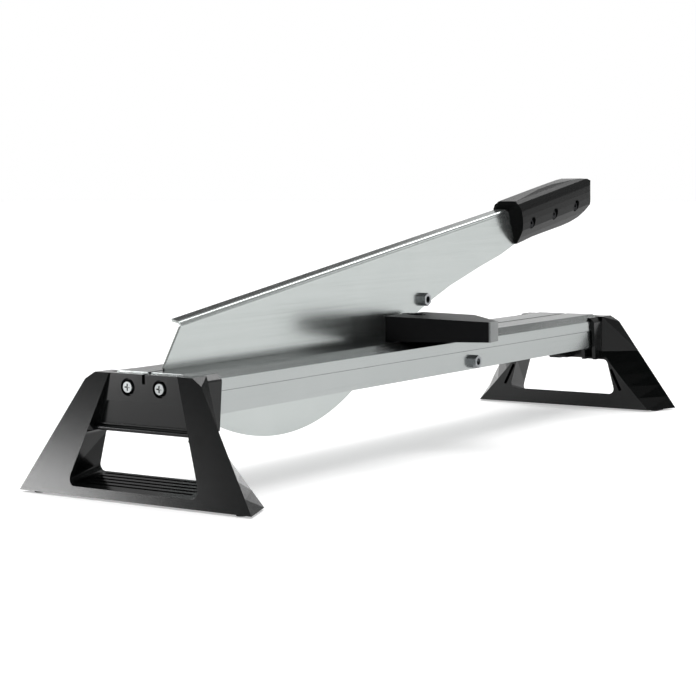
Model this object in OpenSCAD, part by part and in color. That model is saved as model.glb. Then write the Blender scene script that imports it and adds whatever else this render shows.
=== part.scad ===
// Guillotine cutter for floor tiles and planks: two feet, a split rail, a lever blade and a swivelling fence.
// X runs along the rail from the hinge foot to the handle foot, Y across it, Z up.
// The origin is on the ground, under the middle of the whole tool.

/* [Rail] */
// Length between the top outer faces of the two feet
base_l = 660; // [600:5:760]
// Width of the rail over both halves
rail_w = 83.6; // [76:0.2:92]
// Height of the flat top of the rail above the ground
rail_top = 91.7; // [90:0.1:94]
// Height of the underside of the rail above the ground
rail_bottom = 60.5; // [58:0.5:62]
// Half width of the flat top, before it slopes down
flat_w = 29.5; // [27:0.5:32]
// Width of the slot that the blade runs in
slot_w = 3.2; // [3.2:0.1:4]

/* [Feet] */
// Half width of a foot on the ground, outer side
foot_w = 109; // [105:1:115]
// Half width of a foot on the ground, inner side
foot_back_w = 95; // [92:1:98]
// Height of a foot
foot_h = 90.5; // [89:0.5:91.5]
// How far the outer face leans out at the ground
foot_lean = 16.2; // [12:0.2:20]
// Depth from the outer top face to the inner face
foot_d = 17.2; // [15:0.2:20]
// Length of the socket that holds the rail, from the outer top face
socket_l = 35; // [34.5:0.1:40]
// Distance from the outer top face to the panel that the screws are in
recess_x = 0.8; // [0.4:0.1:1.6]

/* [Blade] */
// Thickness of the blade
blade_t = 2; // [1.8:0.1:2.2]
// Width of the stiffening flange along the top
flange_w = 13; // [10:1:13]
// Radius of the curved cutting edge
belly_r = 211; // [209:0.5:213]
// Distance from the outer top face of the hinge foot to the lever's pivot
pivot_x = 29.5; // [29:0.5:30]
// Height of the lever's pivot above the ground
pivot_z = 76; // [75:0.5:77]

/* [Grip] */
// Distance from the outer top face of the hinge foot to the grip's end
grip_end = 684; // [680:1:690]
// Thickness of one half of the grip
grip_half = 15.5; // [14:0.5:17]

/* [Fence] */
// Height of the fence above the rail, at the blade
fence_h = 21.6; // [20:0.2:23]
// Height of the fence above the rail, at its outer end
fence_end_h = 17; // [15:0.5:19]
// Angle of the fence from square, as it is set
fence_angle = 22.5; // [20:0.5:23]

/* [Hidden] */

// The whole tool lies evenly about the origin
x0 = -(grip_end - foot_lean) / 2;
eps = 0.01;

// Rail section
wall = 2.6;
top_wall = 3;
shoulder_z = rail_top - 5.3;
step_z = shoulder_z - 8.8;
step_in = 0.9;
half_w = rail_w / 2;
rail_x0 = 8;
rail_len = base_l - 2 * rail_x0;
port_y = 15;
port_z = 80.7;
port_r = 4.8;
port_bore_r = 2.6;
web_w = 3;
mark_x0 = 90.5;
mark_pitch = 16.1;
marks = 5;
mark_r = 2.2;
mark_in = 0.6;

// Feet
chamfer_w = 54.7;
chamfer_z = 85;
top_w = 45.8;
cheek_w = 45;
cheek_z = 49;
// The top corners of the cheeks are cut off, down to the ear's height
ear_w = 40;
ear_z = 86;
cheek_low_x = 31.5;
// The inner face narrows from the ground up to this height, on a slight curve
leg_back_z = 56;
leg_back_power = 1.1;
leg_back_steps = 5;
window_top = 48;
window_floor = 14.3;
window_back_w = 59;
window_back_top_w = 50;
window_back_r = 5;
recess_low = 6.3;
recess_low_w = 63;
recess_top_w = 32;
recess_r = 5.5;
label_d = 1.2;
label_low = 53.5;
label_top = 70;
label_low_w = 42;
label_top_w = 35.5;
lip_r = 2.6;
sill_grooves = 5;
groove_pitch = 5.2;
groove_w = 2.4;
groove_d = 1.6;
brace_y = 65;
brace_w = 3;
brace_z = 18;
brace_l = 23;
brace_turn = 27;
notch_w = 2.8;
socket_gap = 0.15;
pad_h = 1.6;
pad_r = 4;
pad_y = 95;
pad_x = [-9, 2];

// Fasteners
screw_r = 2.55;
screw_l = 20;
head_r = 5.4;
head_h = 3;
head_seat_x = 3.2;
m6_r = 3;
m6_hole_r = 3.1;
nut_flats = 10;
nut_h = 5.8;
bolt_short = 2;
head_flats = 10;
hex_head_h = 4;
tie_x = 398;
tie_z = 67.3;
stop_x = 378.5;
stop_z = 122.2;
grip_screw_r = 2;
pin_r = 4;
bush_r = 6;
run_gap = 0.05;

// Blade outline, in X from the hinge foot's top face and Z from the ground
belly_cx = 167;
belly_cz = 238.3;
lug_r = 13;
heel = [22.9, 93.3];
toe_top = [43.2, 122.7];
belly_end_x = 285;
arm_edge = [[310, 79.3], [340, 96.6], [373.5, 112.7], [396.2, 121.6], [425.6, 131.8], [481, 147], [518.5, 156.2],
    [546.5, 165.5]];
tang = [[560, 173.5], [600, 180], [640, 187], [664, 196], [668, 203]];
flange_start = [43, 126.1];
flange_slope = 8.4;
flange_r = 4;
flange_nose = 6;
flange_end = 545;
flange_len = (flange_end - flange_start[0]) / cos(flange_slope);
flange_slot_from = 400;

// Grip outline
grip_front_low = 544;
grip_front_top = 531;
tang_gap = 0.4;
grip_seat_r = 5.6;
grip_head_r = 4.6;
grip_tip_r = 12;
grip_edge = [545, 198];
grip_slope = 9.45;
grip_hole_x = [557.5, 603, 647.5];
grip_hole_z = [185, 192.5, 199.6];

// Fence, about its own pivot
fence_px = 334.5;
fence_py = -22;
fence_gap = 0.4;
fence_face_x = -38.5;
fence_blade_y = 20.2;
fence_back_x = 29;
fence_back_top = -1.5;
fence_back_low = -47;
fence_near_end = [-38.5, -67.8];
fence_end_w = 18;
fence_end_turn = -13.5;
fence_corner_r = 1.5;
fence_bore_r = 4.05;
fence_boss_r = 12.5;
fence_seat_r = 8.2;
fence_seat_d = 3;
cap_t = 1.5;
fence_seat_z = fence_h - 1 - fence_seat_d;

// Moves a body drawn from the hinge foot's top face to the tool's own frame
module placed() {
    translate([x0, 0, pad_h]) children();
}

// Draws something once at each end of the rail, the far one turned round
module at_far_end() {
    translate([base_l, 0, 0]) rotate([0, 0, 180]) children();
}

// A rod or hole along Y
module rod_y(r, y_from, y_to) {
    translate([0, y_from, 0]) rotate([-90, 0, 0]) cylinder(r = r, h = y_to - y_from, $fn = 48);
}

// A hexagon bar along Y
module hex_y(flats, y_from, y_to) {
    translate([0, y_from, 0]) rotate([-90, 30, 0]) cylinder(r = flats / 2 / cos(30), h = y_to - y_from, $fn = 6);
}

// ---- Feet ----

function lean_x(z) = -foot_lean * (1 - z / foot_h);

// Half width of the outer face at a height, below the chamfer
function outer_w(z) = foot_w + (chamfer_w - foot_w) * z / chamfer_z;

// Half width of the inner face at a height
function back_w(z) = cheek_w + (foot_back_w - cheek_w) * pow(max(0, 1 - z / leg_back_z), leg_back_power);

// A level slice of the foot, with its half width at the outer face
module slice(z, w_out) {
    translate([0, 0, min(z, foot_h - eps)]) linear_extrude(height = eps)
        polygon([[lean_x(z), -w_out], [lean_x(z), w_out], [foot_d, back_w(z)], [foot_d, -back_w(z)]]);
}

// The outer face leans, and the sides run back to a narrower inner face
module foot_shell() {
    for (i = [0 : leg_back_steps - 1])
        hull() {
            slice(leg_back_z * i / leg_back_steps, outer_w(leg_back_z * i / leg_back_steps));
            slice(leg_back_z * (i + 1) / leg_back_steps, outer_w(leg_back_z * (i + 1) / leg_back_steps));
        }
    hull() {
        slice(leg_back_z, outer_w(leg_back_z));
        slice(chamfer_z, chamfer_w);
        slice(foot_h, top_w);
    }
}

// Cheeks on both sides of the rail, with ears over its sloping shoulders
module cheeks() {
    top = foot_h - 0.3;
    intersection() {
        rotate([90, 0, 0]) translate([0, 0, -cheek_w]) linear_extrude(height = 2 * cheek_w)
            polygon([[2, cheek_z], [cheek_low_x, cheek_z], [socket_l, shoulder_z], [socket_l, top], [2, top]]);
        rotate([90, 0, 90]) linear_extrude(height = socket_l + 1) rounded(2)
            polygon([[-cheek_w, cheek_z - 9], [cheek_w, cheek_z - 9], [cheek_w, ear_z], [ear_w, foot_h],
                [-ear_w, foot_h], [-cheek_w, ear_z]]);
    }
}

module rounded(r) {
    offset(r = r, $fn = 48) offset(delta = -r) children();
}

// Half width of the recess at a height
function recess_w(z) = recess_low_w + (recess_top_w - recess_low_w) * (z - recess_low) / (foot_h - recess_low);

// The opening narrows upwards, and its sill climbs towards the inner face
module window_cut() {
    hull() {
        translate([lean_x(0) - 1, 0, 0]) rotate([90, 0, 90]) linear_extrude(height = eps) rounded(recess_r)
            polygon([[-recess_w(recess_low), recess_low], [recess_w(recess_low), recess_low],
                [recess_w(window_top) - 1, window_top], [1 - recess_w(window_top), window_top]]);
        translate([foot_d + 1, 0, 0]) rotate([90, 0, 90]) linear_extrude(height = eps) rounded(window_back_r)
            polygon([[-window_back_w, window_floor], [window_back_w, window_floor],
                [window_back_top_w, window_top], [-window_back_top_w, window_top]]);
    }
    // Grooves along the sill
    slope = atan((window_floor - recess_low) / (foot_d + 2 - lean_x(0)));
    for (i = [0 : sill_grooves - 1])
        translate([lean_x(0) - 1, 0, recess_low]) rotate([0, -slope, 0])
            translate([9.5 + i * groove_pitch, -50, -groove_d]) cube([groove_w, 100, groove_d + 1]);
}

// The recess between the legs, with a sunk field for a label and a rolled lip over the opening
module panel_recess() {
    depth = recess_x - lean_x(0) + 1;
    low = window_top - 1;
    difference() {
        translate([lean_x(0) - 1, 0, 0]) rotate([90, 0, 90]) linear_extrude(height = depth)
            polygon([[-recess_w(low), low], [recess_w(low), low], [recess_w(foot_h + 12), foot_h + 12],
                [-recess_w(foot_h + 12), foot_h + 12]]);
        translate([recess_x, 0, window_top + lip_r - 0.8]) rod_y(lip_r, -60, 60);
    }
    translate([recess_x - 1, 0, 0]) rotate([90, 0, 90]) linear_extrude(height = 1 + label_d) rounded(1.5)
        polygon([[-label_low_w, label_low], [label_low_w, label_low], [label_top_w, label_top],
            [-label_top_w, label_top]]);
}

module rail_envelope(gap) {
    // Space for the rail in the socket
    translate([rail_x0, -half_w - gap, rail_bottom - gap])
        cube([socket_l, rail_w + 2 * gap, shoulder_z - rail_bottom + 2 * gap]);
    translate([rail_x0, -flat_w - 8, shoulder_z - 1]) cube([socket_l, 2 * flat_w + 16, 20]);
    translate([rail_x0, 0, 0]) rotate([90, 0, 90]) linear_extrude(height = socket_l)
        polygon([[-half_w - gap, shoulder_z], [half_w + gap, shoulder_z], [flat_w, rail_top + gap],
            [-flat_w, rail_top + gap]]);
}

module foot() {
    difference() {
        union() {
            foot_shell();
            cheeks();
        }
        panel_recess();
        window_cut();
        rail_envelope(socket_gap);
        // The cheeks are open under the rail, between the ribs
        for (side = [-1, 1]) {
            translate([foot_d - 8, side * 18 - 12, cheek_z - 2]) cube([socket_l, 24, rail_bottom - cheek_z + 4]);
            translate([foot_d - 8, side * 37.5 - 4, cheek_z - 2]) cube([socket_l, 8, rail_bottom - cheek_z + 4]);
        }
        // Slots beside the opening, where the wall would be too thick
        for (side = [-1, 1])
            translate([foot_d - 10, side * brace_y, brace_z]) rotate([side * brace_turn, 0, 0])
                translate([0, -brace_w / 2, 0]) cube([12, brace_w, brace_l]);
        // Holes and counterbores of the rail's screws
        for (side = [-1, 1])
            translate([0, side * port_y, port_z]) {
                translate([-10, 0, 0]) rotate([0, 90, 0]) cylinder(r = m6_hole_r, h = 30, $fn = 48);
                translate([head_seat_x - 9, 0, 0]) rotate([0, 90, 0])
                    cylinder(r = head_r + 1.1, h = 9 + eps, $fn = 48);
            }
        // Notch in line with the blade
        translate([-5, -notch_w / 2, foot_h - 7]) cube([11.5, notch_w, 10]);
        // Seats of the rubber pads
        for (side = [-1, 1])
            translate([0, side * pad_y, -eps]) pad_shape(pad_r + 0.1, 2);
    }
}

// A long pad with round ends, standing on its underside
module pad_shape(r, h) {
    linear_extrude(height = h) {
        for (x = pad_x)
            translate([x, 0]) circle(r = r, $fn = 48);
        translate([pad_x[0], -r]) square([pad_x[1] - pad_x[0], 2 * r]);
    }
}

module front_foot() {
    color("#1d2022") placed() foot();
}

module rear_foot() {
    color("#1d2022") placed() at_far_end() foot();
}

module foot_pads() {
    for (side = [-1, 1])
        translate([0, side * pad_y, -pad_h]) pad_shape(pad_r, pad_h + 2 - 2 * eps);
}

module front_foot_pads() {
    color("#2a2a2a") placed() foot_pads();
}

module rear_foot_pads() {
    color("#2a2a2a") placed() at_far_end() foot_pads();
}

// Pan-head screws that hold a foot on the ends of the rail
module foot_screws() {
    for (side = [-1, 1])
        translate([0, side * port_y, port_z]) {
            translate([head_seat_x, 0, 0]) rotate([0, 90, 0]) cylinder(r = screw_r, h = screw_l, $fn = 48);
            translate([head_seat_x, 0, 0]) rotate([0, -90, 0]) difference() {
                cylinder(r1 = head_r, r2 = head_r - 1.4, h = head_h, $fn = 48);
                for (turn = [0, 90])
                    rotate([0, 0, turn]) translate([-2.6, -0.55, head_h - 1.6]) cube([5.2, 1.1, 3]);
            }
        }
}

module front_foot_screws() {
    color("#c9ccd0") placed() foot_screws();
}

module rear_foot_screws() {
    color("#c9ccd0") placed() at_far_end() foot_screws();
}

// ---- Rail ----

module rail_section() {
    inner = slot_w / 2;
    difference() {
        polygon([[-inner, rail_top], [-flat_w, rail_top], [-half_w, shoulder_z], [-half_w, step_z],
            [-half_w + step_in, step_z - 0.5], [-half_w + step_in, rail_bottom], [-inner, rail_bottom]]);
        difference() {
            polygon([[-inner - wall, rail_top - top_wall], [-flat_w + 0.6, rail_top - top_wall],
                [-half_w + wall, shoulder_z - 2], [-half_w + wall + step_in, step_z],
                [-half_w + wall + step_in, rail_bottom + wall], [-inner - wall, rail_bottom + wall]]);
            translate([-port_y, port_z]) circle(r = port_r, $fn = 48);
            translate([-port_y - web_w / 2, port_z + port_r - 1]) square([web_w, 20]);
        }
        translate([-port_y, port_z]) circle(r = port_bore_r, $fn = 48);
    }
}

module rail_half(with_marks) {
    difference() {
        translate([rail_x0, 0, 0]) rotate([90, 0, 90]) linear_extrude(height = rail_len) rail_section();
        // Bores of the pivot pin and of the tie bolt
        translate([pivot_x, 0, pivot_z]) rod_y(pin_r + run_gap, -half_w - 1, 1);
        translate([tie_x, 0, tie_z]) rod_y(m6_hole_r, -half_w - 1, 1);
        if (with_marks) {
            for (i = [0 : marks - 1])
                translate([mark_x0 + i * mark_pitch, -slot_w / 2 - mark_in, rail_top - top_wall - 0.5])
                    cylinder(r = mark_r, h = top_wall + 1, $fn = 32);
            // Bore of the fence's pivot screw
            translate([fence_px, fence_py, rail_top - 12]) cylinder(r = m6_hole_r, h = 20, $fn = 48);
        }
    }
}

module front_rail() {
    color("#b9bdbf") placed() rail_half(true);
}

module back_rail() {
    color("#b9bdbf") placed() mirror([0, 1, 0]) rail_half(false);
}

// The bolt that ties the two halves together beyond the blade's sweep
module tie_bolt() {
    color("#c9ccd0") placed() translate([tie_x, 0, tie_z]) {
        rod_y(m6_r, step_in - half_w - nut_h + bolt_short, half_w - step_in);
        hex_y(head_flats, half_w - step_in, half_w - step_in + hex_head_h);
    }
}

module tie_spacer() {
    color("#a8abad") placed() translate([tie_x, 0, tie_z]) difference() {
        rod_y(6, -slot_w / 2, slot_w / 2);
        rod_y(m6_hole_r, -slot_w, slot_w);
    }
}

module lock_nut(y_seat) {
    difference() {
        hex_y(nut_flats, y_seat - nut_h, y_seat);
        rod_y(m6_r + 0.02, y_seat - nut_h - 1, y_seat + 1);
    }
}

module tie_nut() {
    color("#8f9396") placed() translate([tie_x, 0, tie_z]) lock_nut(-half_w + step_in);
}

// ---- Lever ----

function arc_points(cx, cz, r, from, to, steps) =
    [for (i = [0 : steps]) let (a = from + (to - from) * i / steps) [cx + r * cos(a), cz + r * sin(a)]];

// Angles on the belly where it starts near the lug and where it leaves for the straight edge
belly_from = acos((pivot_x + 9 - belly_cx) / belly_r);
belly_to = acos((belly_end_x - belly_cx) / belly_r);

function flange_z(x) = flange_start[1] + (x - flange_start[0]) * tan(flange_slope);

module blade_outline() {
    polygon(concat(
        [heel, toe_top, [flange_end, flange_z(flange_end) - flange_r]],
        [for (i = [len(tang) - 1 : -1 : 0]) tang[i]],
        [for (i = [len(arm_edge) - 1 : -1 : 0]) arm_edge[i]],
        arc_points(belly_cx, belly_cz, belly_r, -belly_to, -belly_from, 48)));
}

module blade() {
    color("#c4c8ca") placed() difference() {
        union() {
            rotate([90, 0, 0]) translate([0, 0, -blade_t / 2]) linear_extrude(height = blade_t) {
                difference() {
                    blade_outline();
                    // The top edge follows the flange's underside
                    translate([flange_start[0] - 30, flange_z(flange_start[0] - 30) - flange_r]) rotate(flange_slope)
                        square([flange_len + 40, 40]);
                }
                translate([pivot_x, pivot_z]) circle(r = lug_r, $fn = 96);
            }
            // Bend and flange, with its front end cut at an angle
            translate([flange_start[0], 0, flange_start[1]]) rotate([0, -flange_slope, 0]) difference() {
                rotate([90, 0, 90]) linear_extrude(height = flange_len) flange_section();
                translate([0, 0, -flange_r]) linear_extrude(height = flange_r + 1)
                    polygon([[-1, 0], [0, 0], [flange_nose, flange_w], [flange_nose, flange_w + 1],
                        [-1, flange_w + 1]]);
            }
        }
        translate([pivot_x, 0, pivot_z]) rod_y(bush_r, -blade_t, blade_t);
        translate([stop_x, 0, stop_z]) rod_y(m6_hole_r, -blade_t, blade_t);
        for (i = [0 : 2])
            translate([grip_hole_x[i], 0, grip_hole_z[i]]) rod_y(2.4, -blade_t, blade_t);
    }
}

// Section of the bend: a quarter round with the thickness of the sheet, then the flat flange
module flange_section() {
    low = -flange_r - 1;
    centre = flange_r - blade_t / 2;
    translate([centre, -flange_r]) intersection() {
        difference() {
            circle(r = flange_r, $fn = 64);
            circle(r = flange_r - blade_t, $fn = 64);
        }
        translate([-flange_r, 0]) square(flange_r);
    }
    translate([-blade_t / 2, low]) square([blade_t, 1 + eps]);
    translate([centre - eps, -blade_t]) square([flange_w - centre, blade_t]);
}

module pivot_bush() {
    color("#b08d57") placed() translate([pivot_x, 0, pivot_z]) difference() {
        rod_y(bush_r - eps, -blade_t / 2, blade_t / 2);
        rod_y(pin_r + run_gap, -blade_t, blade_t);
    }
}

module pivot_washers() {
    color("#c9ccd0") placed() translate([pivot_x, 0, pivot_z]) for (side = [-1, 1])
        translate([0, side * (slot_w / 2 - 0.25), 0]) difference() {
            rod_y(9, -0.25, 0.25);
            rod_y(pin_r + run_gap, -1, 1);
        }
}

module pivot_pin() {
    color("#c9ccd0") placed() translate([pivot_x, 0, pivot_z]) rod_y(pin_r, -half_w + step_in, half_w - step_in);
}

// Side view of the grip
module grip_outline() {
    polygon([[grip_front_low, 165.2], [grip_front_top, 203], [grip_front_top + 1.5, 206], [555, 210.4],
        [585, 216.5], [616, 221.6], [645, 225], [662, 226.6], [673, 226.2], [679.5, 223.5], [683, 219],
        [grip_end, 214], [683, 208], [680.4, 200.5], [675, 193.5], [667, 187.8], [653, 183.2], [635, 179.8],
        [603, 175.6], [572, 171.2], [556, 167.4]]);
}

// Plan of the grip: its end has rounded corners
module grip_plan() {
    translate([500, -grip_half]) square([grip_end - grip_tip_r - 500, 2 * grip_half]);
    translate([grip_end - grip_tip_r - 1, grip_tip_r - grip_half])
        square([grip_tip_r + 1, 2 * (grip_half - grip_tip_r)]);
    for (side = [-1, 1])
        translate([grip_end - grip_tip_r, side * (grip_half - grip_tip_r)]) circle(r = grip_tip_r, $fn = 48);
}

// Section of the grip across its length, measured from the upper edge of its side
module grip_section() {
    side = [[0, 12], [4, 11.8], [9, 10], [12.6, 7.2], [14.8, 3.6], [grip_half, 0], [grip_half - 0.1, -6],
        [grip_half - 0.9, -12], [grip_half - 2.7, -19], [grip_half - 7.1, -26], [4.6, -31], [1.5, -34.5],
        [0, -35.5]];
    polygon(concat(side, [for (i = [len(side) - 2 : -1 : 1]) [-side[i][0], side[i][1]]]));
}

module grip_block() {
    intersection() {
        rotate([90, 0, 0]) translate([0, 0, -grip_half - 1]) linear_extrude(height = 2 * grip_half + 2)
            grip_outline();
        translate([grip_edge[0], 0, grip_edge[1]]) rotate([0, -grip_slope, 0]) translate([-60, 0, 0])
            rotate([90, 0, 90]) linear_extrude(height = 240) grip_section();
        translate([0, 0, 150]) linear_extrude(height = 100) grip_plan();
    }
}

// Room for the blade's tang and for the end of its flange
module grip_slot() {
    rotate([90, 0, 0]) translate([0, 0, -blade_t / 2]) linear_extrude(height = blade_t)
        offset(delta = tang_gap) blade_outline();
    translate([flange_start[0], -blade_t / 2, flange_start[1]]) rotate([0, -flange_slope, 0])
        translate([flange_slot_from, 0, -flange_r - 1])
            cube([flange_len + 1 - flange_slot_from, flange_w + tang_gap + 1, flange_r + tang_gap + 1]);
}

module grip_screw_seats(side) {
    for (i = [0 : 2])
        translate([grip_hole_x[i], 0, grip_hole_z[i]]) {
            rod_y(grip_screw_r + 0.2, -grip_half - 1, grip_half + 1);
            if (side < 0)
                rod_y(grip_seat_r, -grip_half - 1, -grip_half + 5.5);
            else
                hex_y(7, grip_half - 6, grip_half + 1);
        }
}

module grip_right() {
    color("#26292a") placed() difference() {
        intersection() {
            grip_block();
            translate([500, -grip_half - 1, 150]) cube([200, grip_half + 1 - eps, 100]);
        }
        grip_slot();
        grip_screw_seats(-1);
    }
}

module grip_left() {
    color("#26292a") placed() difference() {
        intersection() {
            grip_block();
            translate([500, eps, 150]) cube([200, grip_half + 1, 100]);
        }
        grip_slot();
        grip_screw_seats(1);
    }
}

module grip_screws() {
    color("#c9ccd0") placed() for (i = [0 : 2])
        translate([grip_hole_x[i], 0, grip_hole_z[i]]) {
            rod_y(grip_screw_r, -grip_half + 5.5, grip_half - 2.5);
            difference() {
                rod_y(grip_head_r, -grip_half + 3, -grip_half + 5.5);
                hex_y(3, -grip_half + 2.5, -grip_half + 4.5);
            }
        }
}

module grip_nuts() {
    color("#c9ccd0") placed() for (i = [0 : 2])
        translate([grip_hole_x[i], 0, grip_hole_z[i]]) difference() {
            hex_y(6.9, grip_half - 6, grip_half - 3);
            rod_y(grip_screw_r + 0.02, 0, grip_half + 1);
        }
}

// The stop: its nut and head meet the rail when the blade is right down
module stop_bolt() {
    color("#c9ccd0") placed() translate([stop_x, 0, stop_z]) {
        rod_y(m6_r, -blade_t / 2 - nut_h + bolt_short, blade_t / 2);
        hex_y(head_flats, blade_t / 2, blade_t / 2 + hex_head_h);
    }
}

module stop_nut() {
    color("#8f9396") placed() translate([stop_x, 0, stop_z]) lock_nut(-blade_t / 2);
}

// ---- Fence ----

// Everything on the fence is drawn square to the rail, about its pivot, and then turned
module fence_placed() {
    placed() translate([fence_px, fence_py, rail_top + fence_gap]) rotate([0, 0, fence_angle]) children();
}

// Plan view: the face that the work rests on, a parallel back edge and a corner cut off towards the outer end
module fence_plan() {
    hull() {
        translate([fence_face_x + fence_corner_r, fence_blade_y - fence_corner_r])
            circle(r = fence_corner_r, $fn = 32);
        translate([fence_back_x - fence_corner_r, fence_back_top - fence_corner_r])
            circle(r = fence_corner_r, $fn = 32);
        translate([fence_back_x - fence_corner_r, fence_back_low + fence_corner_r])
            circle(r = fence_corner_r, $fn = 32);
        at_fence_end() square([fence_end_w, 1]);
    }
    circle(r = fence_boss_r, $fn = 64);
}

module at_fence_end() {
    translate(fence_near_end) rotate(fence_end_turn) children();
}

// The top falls from the blade end to the outer end
module fence_top_cut() {
    fall = atan((fence_h - fence_end_h) / (fence_blade_y - fence_near_end[1]));
    translate([-80, fence_blade_y, fence_h]) rotate([fall, 0, 0]) translate([0, -140, 0]) cube([160, 200, 40]);
}

module fence_body() {
    color("#17191a") fence_placed() difference() {
        linear_extrude(height = fence_h) fence_plan();
        fence_top_cut();
        translate([0, 0, -1]) cylinder(r = fence_bore_r, h = fence_h + 2, $fn = 48);
        translate([0, 0, fence_seat_z]) cylinder(r = fence_seat_r, h = 20, $fn = 64);
    }
}

module fence_end_cap() {
    color("#a5a9ab") fence_placed() difference() {
        linear_extrude(height = fence_end_h) at_fence_end() translate([0, -cap_t - eps])
            square([fence_end_w, cap_t]);
        fence_top_cut();
    }
}

// Shoulder screw that the fence turns on, with its head sunk in the fence
module fence_screw() {
    head_z = fence_seat_z + 1.3;
    color("#c9ccd0") placed() translate([fence_px, fence_py, rail_top + fence_gap]) {
        translate([0, 0, -fence_gap]) cylinder(r = fence_bore_r - run_gap, h = head_z + fence_gap, $fn = 48);
        translate([0, 0, -7.4]) cylinder(r = m6_r, h = 7.4, $fn = 48);
        translate([0, 0, head_z]) difference() {
            cylinder(r1 = 6.6, r2 = 5.8, h = 2.4, $fn = 48);
            translate([0, 0, 0.6]) cylinder(r = 2.9, h = 4, $fn = 6);
        }
    }
}

module fence_washer() {
    color("#a8abad") placed() translate([fence_px, fence_py, rail_top + fence_gap + fence_seat_z + 0.3])
        difference() {
            cylinder(r = 7.6, h = 1, $fn = 48);
            translate([0, 0, -1]) cylinder(r = fence_bore_r, h = 4, $fn = 48);
        }
}

module fence_nut() {
    color("#c9ccd0") placed() translate([fence_px, fence_py, rail_top - 6.1]) difference() {
        translate([-5, -5, 0]) cube([10, 10, 3]);
        translate([0, 0, -1]) cylinder(r = m6_r + 0.02, h = 8, $fn = 48);
    }
}

front_foot();
rear_foot();
front_rail();
back_rail();
front_foot_screws();
rear_foot_screws();
front_foot_pads();
rear_foot_pads();
tie_bolt();
tie_spacer();
tie_nut();
pivot_pin();
pivot_washers();
pivot_bush();
blade();
grip_left();
grip_right();
grip_screws();
grip_nuts();
stop_bolt();
stop_nut();
fence_body();
fence_end_cap();
fence_screw();
fence_washer();
fence_nut();
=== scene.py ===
"""Looks of the tile cutter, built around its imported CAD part. Metres, +X along the rail to the handle, +Z up."""

import math

import bpy
from mathutils import Matrix, Vector

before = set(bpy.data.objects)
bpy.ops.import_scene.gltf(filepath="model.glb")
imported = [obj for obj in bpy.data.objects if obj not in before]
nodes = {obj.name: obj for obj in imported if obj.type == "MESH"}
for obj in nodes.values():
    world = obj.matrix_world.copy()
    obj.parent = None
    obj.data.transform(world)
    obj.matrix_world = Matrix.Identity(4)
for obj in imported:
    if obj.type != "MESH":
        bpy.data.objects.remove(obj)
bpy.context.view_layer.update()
MM = 0.001


# ---------------------------------------------------------------- materials


class Mat:
    """A node material that is written down as a chain of calls."""

    def __init__(self, name):
        self.mat = bpy.data.materials.new(name)
        self.mat.use_nodes = True
        self.tree = self.mat.node_tree
        self.shader = self.tree.nodes["Principled BSDF"]
        self.coords = self.tree.nodes.new("ShaderNodeTexCoord").outputs["Object"]

    def put(self, socket, value):
        """Sets a socket of the shader, from a link or a plain value."""
        target = self.shader.inputs[socket]
        if isinstance(value, bpy.types.NodeSocket):
            self.tree.links.new(value, target)
        else:
            target.default_value = value
        return self

    def node(self, kind, links=(), **values):
        """Adds a node: links fills its sockets from links or plain values, values sets its properties."""
        n = self.tree.nodes.new(kind)
        for key, value in values.items():
            setattr(n, key, value)
        for socket, value in dict(links).items():
            if isinstance(value, bpy.types.NodeSocket):
                self.tree.links.new(value, n.inputs[socket])
            else:
                n.inputs[socket].default_value = value
        return n

    def stretched(self, scale):
        """Object coordinates times a scale along each axis, for grain that runs one way."""
        return self.node("ShaderNodeMapping", {"Vector": self.coords, "Scale": scale}).outputs["Vector"]

    def noise(self, scale, detail=3.0, rough=0.5, vector=None):
        links = {"Vector": vector or self.coords, "Scale": scale, "Detail": detail, "Roughness": rough}
        return self.node("ShaderNodeTexNoise", links).outputs["Fac"]

    def spread(self, source, low, high, from_low=0.3, from_high=0.7):
        """Maps a pattern onto a range of values."""
        links = {"Value": source, "From Min": from_low, "From Max": from_high, "To Min": low, "To Max": high}
        return self.node("ShaderNodeMapRange", links).outputs["Result"]

    def blend(self, source, low, high, from_low=0.3, from_high=0.7):
        """Maps a pattern onto a range between two colours."""
        n = self.node("ShaderNodeMix", data_type="RGBA")
        factor_input, low_input, high_input = n.inputs[0], n.inputs[6], n.inputs[7]
        self.tree.links.new(self.spread(source, 0.0, 1.0, from_low, from_high), factor_input)
        for target, value in ((low_input, low), (high_input, high)):
            if isinstance(value, bpy.types.NodeSocket):
                self.tree.links.new(value, target)
            else:
                target.default_value = (*value, 1.0)
        return n.outputs[2]

    def bump(self, *layers):
        """Adds bumps on top of each other: (pattern, height in metres)."""
        normal = None
        for pattern, height in layers:
            links = {"Height": pattern, "Distance": height, "Strength": 1.0}
            if normal is not None:
                links["Normal"] = normal
            normal = self.node("ShaderNodeBump", links).outputs["Normal"]
        return self.put("Normal", normal)

    def edges(self, radius):
        """0 on flat faces, rising on sharp edges: how far the surface's normal turns within a radius."""
        bevel = self.node("ShaderNodeBevel", {"Radius": radius}, samples=4).outputs["Normal"]
        true = self.node("ShaderNodeNewGeometry").outputs["Normal"]
        dot = self.node("ShaderNodeVectorMath", {0: bevel, 1: true}, operation="DOT_PRODUCT").outputs["Value"]
        return self.node("ShaderNodeMath", {0: 1.0, 1: dot}, operation="SUBTRACT").outputs["Value"]


# Moulded plastic: how far in from an edge it is painted paler, partly as wear and partly as a painted highlight,
# where this starts and ends, and how pale it gets
EDGE_WEAR_AND_HIGHLIGHT_REACH = 0.9 * MM
EDGE_WEAR_AND_HIGHLIGHT_START = 0.02
EDGE_WEAR_AND_HIGHLIGHT_FULL = 0.4
EDGE_WEAR_AND_HIGHLIGHT_LIFT = 6.0
# Scale of the slow clouds in it and the height of their bumps
PLASTIC_CLOUD = 9.0
PLASTIC_WAVE = 0.01 * MM


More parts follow.
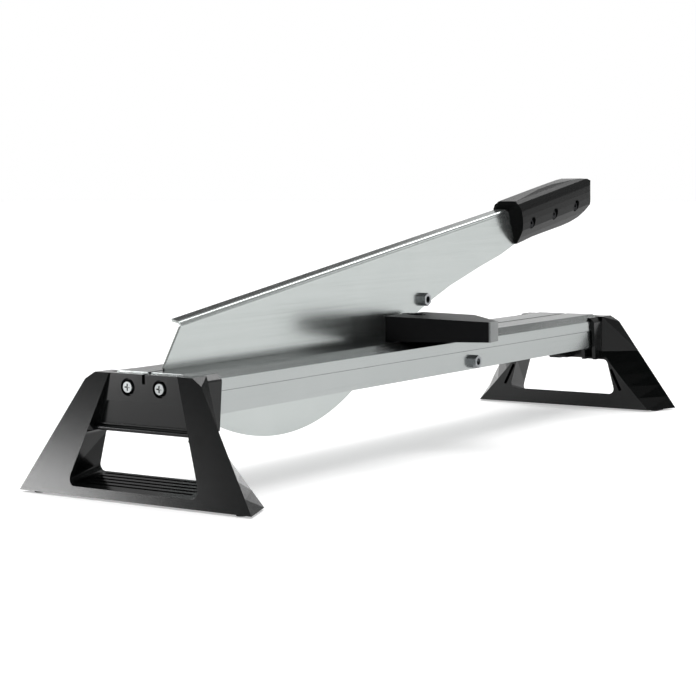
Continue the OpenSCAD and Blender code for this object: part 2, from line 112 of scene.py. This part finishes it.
def plastic(name, colour, lift, rough, grain, height, gloss=0.5):
    """Moulded black plastic with a spark-eroded grain, slightly paler on worn high spots, and paler along sharp
    edges, partly as wear and partly as a painted highlight.
    """
    m = Mat(name)
    fine = m.noise(grain, 2.0, 0.6)
    wide = m.noise(PLASTIC_CLOUD, 4.0, 0.6)
    lifted = tuple(c + lift for c in colour)
    cloud = m.blend(wide, colour, lifted)
    # Sharp edges painted paler: partly wear, partly a painted highlight along the edge
    worn_and_highlit_edge = tuple(c + EDGE_WEAR_AND_HIGHLIGHT_LIFT * lift for c in colour)
    m.put("Base Color", m.blend(m.edges(EDGE_WEAR_AND_HIGHLIGHT_REACH), cloud, worn_and_highlit_edge, EDGE_WEAR_AND_HIGHLIGHT_START, EDGE_WEAR_AND_HIGHLIGHT_FULL))
    m.put("Roughness", m.spread(fine, rough - 0.06, rough + 0.08))
    m.put("Specular IOR Level", gloss)
    m.bump((wide, PLASTIC_WAVE), (fine, height))
    return m.mat


# Bare metal: how much of the mirror-like glare at a low angle it keeps, its clouds of wear, and its lines' tone
EDGE_TINT = 0.55
METAL_CLOUD = 14.0
LINE_TONE = 0.94


def metal(name, colour, dark, rough, stretch, height, metallic=1.0):
    """Bare metal with fine drawn or ground lines and a faint cloud of wear."""
    m = Mat(name)
    lines = m.noise(1.0, 4.0, 0.65, m.stretched(stretch))
    cloud = m.noise(METAL_CLOUD, 5.0, 0.6)
    base = m.blend(cloud, dark, colour)
    m.put("Base Color", m.blend(lines, tuple(LINE_TONE * c for c in colour), base, 0.2, 0.5))
    m.put("Metallic", metallic)
    m.put("Specular Tint", (EDGE_TINT, EDGE_TINT, EDGE_TINT, 1.0))
    m.put("Roughness", m.spread(lines, rough - 0.04, rough + 0.06))
    m.bump((lines, height))
    return m.mat


# Lines along X for the extrusion and the ground blade, across the cut end of the cap, and none on turned parts
DRAWN = (3.0, 900.0, 900.0)
GROUND = (5.0, 500.0, 500.0)
SAWN = (900.0, 900.0, 60.0)
TURNED = (400.0, 400.0, 400.0)
CAST = (300.0, 300.0, 300.0)

foot_mat = plastic(
    "foot_plastic",
    colour=(0.0030, 0.0036, 0.0036),
    lift=0.0010,
    rough=0.18,
    grain=2600.0,
    height=0.012 * MM,
    gloss=0.25,
)
grip_mat = plastic(
    "grip_plastic",
    colour=(0.0040, 0.0045, 0.0045),
    lift=0.0015,
    rough=0.26,
    grain=1900.0,
    height=0.020 * MM,
    gloss=0.06,
)
fence_mat = plastic(
    "fence_plastic",
    colour=(0.0022, 0.0025, 0.0030),
    lift=0.0008,
    rough=0.36,
    grain=3200.0,
    height=0.020 * MM,
    gloss=0.10,
)
rail_mat = metal(
    "rail_aluminium",
    colour=(0.41, 0.43, 0.426),
    dark=(0.39, 0.41, 0.406),
    rough=0.19,
    stretch=DRAWN,
    height=0.002 * MM,
)
cap_mat = metal(
    "cap_aluminium",
    colour=(0.33, 0.34, 0.34),
    dark=(0.28, 0.29, 0.29),
    rough=0.42,
    stretch=SAWN,
    height=0.01 * MM,
)
blade_mat = metal(
    "blade_steel",
    colour=(0.52, 0.55, 0.54),
    dark=(0.49, 0.52, 0.51),
    rough=0.20,
    stretch=GROUND,
    height=0.001 * MM,
    metallic=0.88,
)
zinc_mat = metal(
    "zinc_steel",
    colour=(0.30, 0.31, 0.31),
    dark=(0.22, 0.23, 0.23),
    rough=0.20,
    stretch=TURNED,
    height=0.01 * MM,
)
nut_mat = metal(
    "nut_steel",
    colour=(0.36, 0.37, 0.38),
    dark=(0.20, 0.21, 0.22),
    rough=0.18,
    stretch=TURNED,
    height=0.01 * MM,
)
dark_mat = metal(
    "blackened_steel",
    colour=(0.035, 0.036, 0.038),
    dark=(0.020, 0.021, 0.022),
    rough=0.26,
    stretch=TURNED,
    height=0.01 * MM,
)
bush_mat = metal(
    "bush_bronze",
    colour=(0.62, 0.46, 0.27),
    dark=(0.50, 0.36, 0.20),
    rough=0.30,
    stretch=CAST,
    height=0.01 * MM,
)
pad_mat = plastic(
    "pad_rubber",
    colour=(0.012, 0.012, 0.012),
    lift=0.006,
    rough=0.7,
    grain=1500.0,
    height=0.08 * MM,
)

# Pieces that aren't listed are zinc plated
LOOKS = {
    "front_foot": foot_mat,
    "rear_foot": foot_mat,
    "front_rail": rail_mat,
    "back_rail": rail_mat,
    "blade": blade_mat,
    "grip_left": grip_mat,
    "grip_right": grip_mat,
    "fence_body": fence_mat,
    "fence_end_cap": cap_mat,
    "pivot_bush": bush_mat,
    "front_foot_pads": pad_mat,
    "rear_foot_pads": pad_mat,
    "tie_nut": nut_mat,
    "stop_nut": nut_mat,
    "tie_bolt": nut_mat,
    "stop_bolt": nut_mat,
    "grip_screws": dark_mat,
    "grip_nuts": dark_mat,
    "fence_screw": dark_mat,
    "fence_washer": dark_mat,
}


def dress(obj, mat):
    obj.data.materials.clear()
    obj.data.materials.append(mat)


for name, obj in nodes.items():
    dress(obj, LOOKS.get(name, zinc_mat))


# ---------------------------------------------------------------- edges

# Edges that turn by more than this are rounded
SHARP_ANGLE = math.radians(35.0)


def soften(obj, width):
    """Rounds the sharp edges by a small radius, as moulding or deburring does, and smooths the shading."""
    bevel = obj.modifiers.new("Rounding", "BEVEL")
    bevel.width = width
    bevel.segments = 2
    bevel.limit_method = "ANGLE"
    bevel.angle_limit = SHARP_ANGLE
    bevel.use_clamp_overlap = True
    bevel.harden_normals = True
    for face in obj.data.polygons:
        face.use_smooth = True


EDGES = {
    "front_foot": 0.5 * MM,
    "rear_foot": 0.5 * MM,
    "front_rail": 0.25 * MM,
    "back_rail": 0.25 * MM,
    "blade": 0.25 * MM,
    "grip_left": 0.9 * MM,
    "grip_right": 0.9 * MM,
    "fence_body": 0.5 * MM,
    "fence_end_cap": 0.3 * MM,
    "tie_nut": 0.4 * MM,
    "stop_nut": 0.4 * MM,
    "tie_bolt": 0.3 * MM,
    "stop_bolt": 0.3 * MM,
    "front_foot_screws": 0.3 * MM,
    "rear_foot_screws": 0.3 * MM,
    "fence_screw": 0.3 * MM,
}

for name, width in EDGES.items():
    soften(nodes[name], width)


# ---------------------------------------------------------------- floor

FLOOR_HALF = 12.0
FLOOR_GLOW = 0.44

floor_mat = Mat("studio_floor")
floor_mat.put("Base Color", floor_mat.blend(floor_mat.noise(3.0, 2.0), (0.86, 0.86, 0.86), (0.88, 0.88, 0.88)))
floor_mat.put("Roughness", 0.9)
floor_mat.put("Specular IOR Level", 0.0)
floor_mat.put("Emission Color", (1.0, 1.0, 1.0, 1.0))
floor_mat.put("Emission Strength", FLOOR_GLOW)

mesh = bpy.data.meshes.new("floor")
corners = [(-1, -1), (1, -1), (1, 1), (-1, 1)]
mesh.from_pydata([(x * FLOOR_HALF, y * FLOOR_HALF, 0.0) for x, y in corners], [], [(0, 1, 2, 3)])
floor = bpy.data.objects.new("floor", mesh)
bpy.context.scene.collection.objects.link(floor)
dress(floor, floor_mat.mat)


# ---------------------------------------------------------------- studio around the tool


class Sky:
    """The studio around the tool: white to the eye, and soft boxes and dark flats in what the metal reflects."""

    def __init__(self):
        self.world = bpy.data.worlds.new("studio")
        self.world.use_nodes = True
        self.tree = self.world.node_tree
        self.back = self.tree.nodes["Background"]
        self.back.inputs["Color"].default_value = (1.0, 1.0, 1.0, 1.0)
        self.way = self.tree.nodes.new("ShaderNodeTexCoord").outputs["Generated"]
        bpy.context.scene.world = self.world

    def math(self, operation, *values):
        n = self.tree.nodes.new("ShaderNodeMath")
        n.operation = operation
        for socket, value in zip(n.inputs, values):
            if isinstance(value, bpy.types.NodeSocket):
                self.tree.links.new(value, socket)
            else:
                socket.default_value = value
        return n.outputs[0]

    def facing(self, direction):
        """Cosine of the angle from a direction."""
        n = self.tree.nodes.new("ShaderNodeVectorMath")
        n.operation = "DOT_PRODUCT"
        self.tree.links.new(self.way, n.inputs[0])
        n.inputs[1].default_value = Vector(direction).normalized()
        return n.outputs["Value"]

    def step(self, value, low, high):
        """Runs smoothly from 0 at low to 1 at high."""
        n = self.tree.nodes.new("ShaderNodeMapRange")
        n.interpolation_type = "SMOOTHSTEP"
        self.tree.links.new(value, n.inputs["Value"])
        n.inputs["From Min"].default_value = low
        n.inputs["From Max"].default_value = high
        return n.outputs["Result"]

    def towards(self, light, level, mask):
        """Goes from the light there is to a level, as the mask goes from 0 to 1."""
        gap = self.math("SUBTRACT", level, light)
        return self.math("ADD", light, self.math("MULTIPLY", gap, mask))

    def patch(self, light, direction, wide, soft, level):
        """Draws a round area of one level over what is there: wide and soft are half angles in degrees."""
        inner = math.cos(math.radians(wide))
        outer = math.cos(math.radians(wide + soft))
        return self.towards(light, level, self.step(self.facing(direction), outer, inner))

    def band(self, light, direction, low, full, fade, high, level):
        """Draws a level band on one side of the studio, between two heights given as sines of elevation."""
        up = self.facing((0, 0, 1))
        rise = self.step(up, low, full)
        mask = self.math("MULTIPLY", rise, self.math("SUBTRACT", 1.0, self.step(up, fade, high)))
        side = self.step(self.facing(direction), SIDE_START, SIDE_FULL)
        return self.towards(light, level, self.math("MULTIPLY", mask, side))

    def close(self, light, eye_level):
        """Sets the light, with a plain level where the camera looks straight at it."""
        seen = self.tree.nodes.new("ShaderNodeLightPath").outputs["Is Camera Ray"]
        self.tree.links.new(self.towards(light, eye_level, seen), self.back.inputs["Strength"])


# Cosines between which a band comes in from its sides
SIDE_START = 0.62
SIDE_FULL = 0.84
# The wall beyond the tool is bright and the one behind the camera nearly dark; both dim towards the ceiling
FAR_WALL = (0.8, 0.6, 0)
NEAR_WALL_LEVEL = 0.05
CEILING_DIM = 0.55

sky = Sky()
height = sky.facing((0, 0, 1))
far_side = sky.step(sky.facing(FAR_WALL), -0.35, 0.30)
light = sky.math("ADD", NEAR_WALL_LEVEL, far_side)
dim = sky.math("SUBTRACT", 1.0, sky.math("MULTIPLY", sky.step(height, 0.14, 0.42), CEILING_DIM))
light = sky.math("MULTIPLY", light, dim)
# Overhead box, the box seen in the top of the grip, the flat seen in the blade's flange
light = sky.patch(light, direction=(0.0, 0.1, 1.0), wide=24.0, soft=14.0, level=2.0)
light = sky.patch(light, direction=(0.81, 0.44, 0.42), wide=4.0, soft=3.0, level=2.0)
light = sky.patch(light, direction=(0.73, 0.62, 0.29), wide=5.5, soft=3.0, level=0.03)
# The flat beside the tool, and the small strong box that draws the bright line along rounded top edges
light = sky.band(light, direction=(0.84, -0.54, 0.0), low=0.13, full=0.22, fade=0.40, high=0.50, level=0.04)
light = sky.patch(light, direction=(0.74, 0.06, 0.67), wide=6.0, soft=4.0, level=7.0)
sky.close(light, eye_level=1.0)


# ---------------------------------------------------------------- lights


def area_light(name, place, target, size, power):
    data = bpy.data.lights.new(name, "AREA")
    data.shape = "RECTANGLE"
    data.size, data.size_y = size
    data.energy = power
    lamp = bpy.data.objects.new(name, data)
    lamp.location = place
    lamp.rotation_euler = (Vector(target) - Vector(place)).to_track_quat("-Z", "Y").to_euler()
    bpy.context.scene.collection.objects.link(lamp)


# Key from above, two that brighten the floor the blade reflects, and one low down that grazes the near foot
area_light("key", place=(-0.5, 0.2, 2.6), target=(0.0, 0.0, 0.1), size=(1.6, 1.6), power=8.0)
area_light("fill", place=(1.7, -1.0, 1.0), target=(1.7, -1.0, 0.0), size=(0.9, 0.9), power=1.6)
area_light("far_fill", place=(4.6, -2.8, 2.0), target=(4.6, -2.8, 0.0), size=(2.5, 2.5), power=20.0)
area_light("glint", place=(-1.45, 1.16, 0.09), target=(-0.34, 0.08, 0.02), size=(0.24, 0.2), power=4.4)


# ---------------------------------------------------------------- camera

CAMERA_PLACE = (-1.3554, -0.8764, 0.2340)
CAMERA_FORWARD = (0.82242, 0.56136, -0.09224)
CAMERA_UP = (0.08153, 0.04416, 0.99569)
CAMERA_LENS = 96.7
CAMERA_SENSOR = 36.0
CAMERA_REACH = 60.0

camera_data = bpy.data.cameras.new("camera")
camera_data.lens = CAMERA_LENS
camera_data.sensor_width = CAMERA_SENSOR
camera_data.clip_end = CAMERA_REACH
camera = bpy.data.objects.new("camera", camera_data)
back = -Vector(CAMERA_FORWARD).normalized()
right = Vector(CAMERA_UP).cross(back).normalized()
up = back.cross(right)
camera.matrix_world = Matrix.Translation(CAMERA_PLACE) @ Matrix((right, up, back)).transposed().to_4x4()
bpy.context.scene.collection.objects.link(camera)
bpy.context.scene.camera = camera
bpy.context.scene.view_settings.view_transform = "Standard"

bpy.context.view_layer.update()
